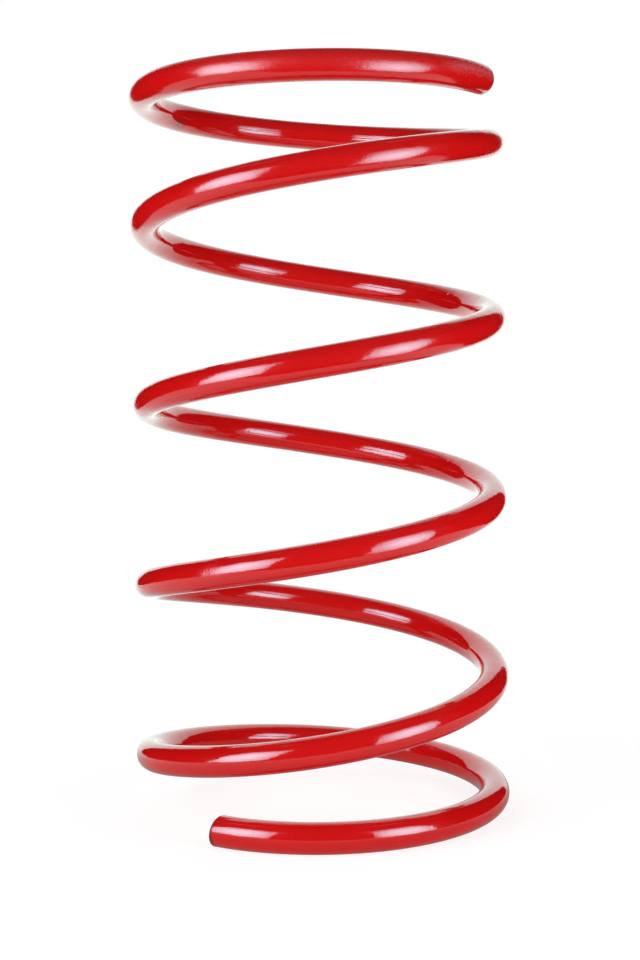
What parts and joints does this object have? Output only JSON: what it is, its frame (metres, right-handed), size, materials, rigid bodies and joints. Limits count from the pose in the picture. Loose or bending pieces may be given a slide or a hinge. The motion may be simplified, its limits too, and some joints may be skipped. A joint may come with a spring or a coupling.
{
  "type": "helical spring",
  "caption": "Red painted coil spring of round steel wire, wound right-handed, with plain cut ends that close down onto their seats; it pushes back along its axis when squeezed.",
  "frame": {"origin": "on the coil's axis, in the plane of the lowest point of the lower end turn", "axes": "+Z along the coil's axis from the lower seat to the upper one; +X to the right and -Y to the front as the spring is seen in the picture"},
  "size_m": [0.152, 0.152, 0.298],
  "materials": {
    "red_powder_coat": "gloss"
  },
  "bodies": {
    "root": {"coil_spring": "red_powder_coat"}
  },
  "joints": []
}
